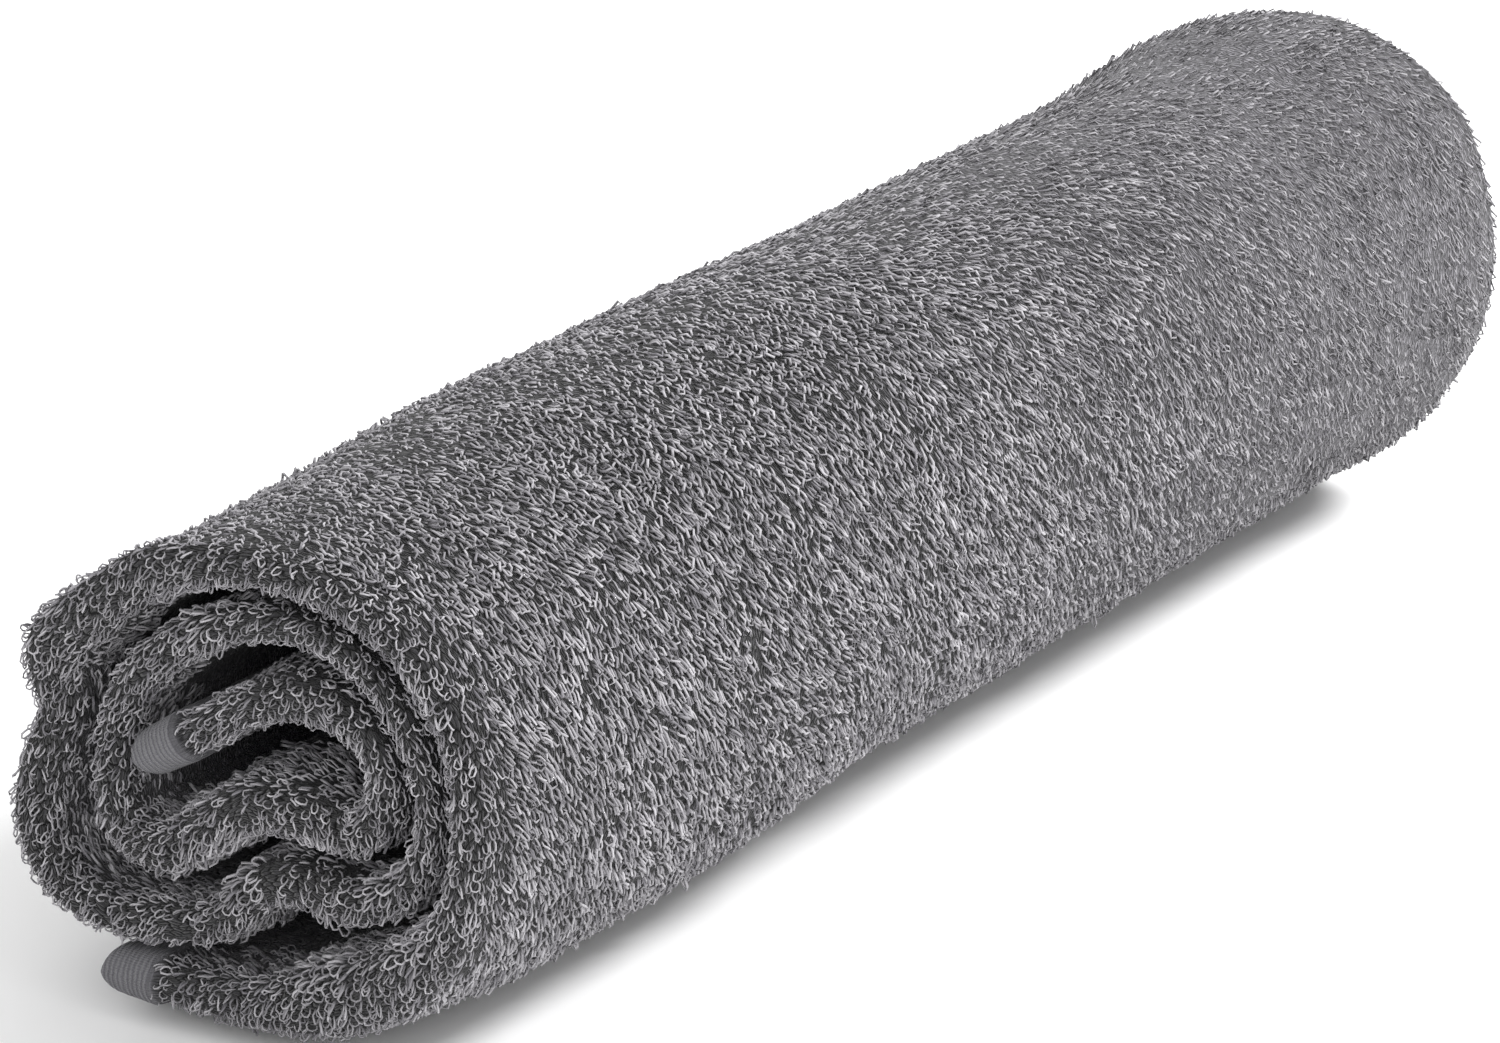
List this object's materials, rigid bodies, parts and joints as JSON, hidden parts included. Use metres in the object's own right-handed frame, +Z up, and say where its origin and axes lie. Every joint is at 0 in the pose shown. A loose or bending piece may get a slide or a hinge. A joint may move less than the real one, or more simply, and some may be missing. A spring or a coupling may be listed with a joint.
{
  "type": "rolled bath towel",
  "caption": "Terry bath towel folded into a long band and wound into a loose roll that lies on its side, with open spiral ends.",
  "frame": {"origin": "under the middle of the roll, on the surface that it lies on", "axes": "+X along the roll's axis, away from the end whose turns stand most open; +Z up"},
  "size_m": [0.365, 0.1072, 0.0992],
  "materials": {
    "terry_cotton": "dark grey looped terry pile"
  },
  "bodies": {
    "root": {"towel_roll": "terry_cotton"}
  },
  "joints": []
}
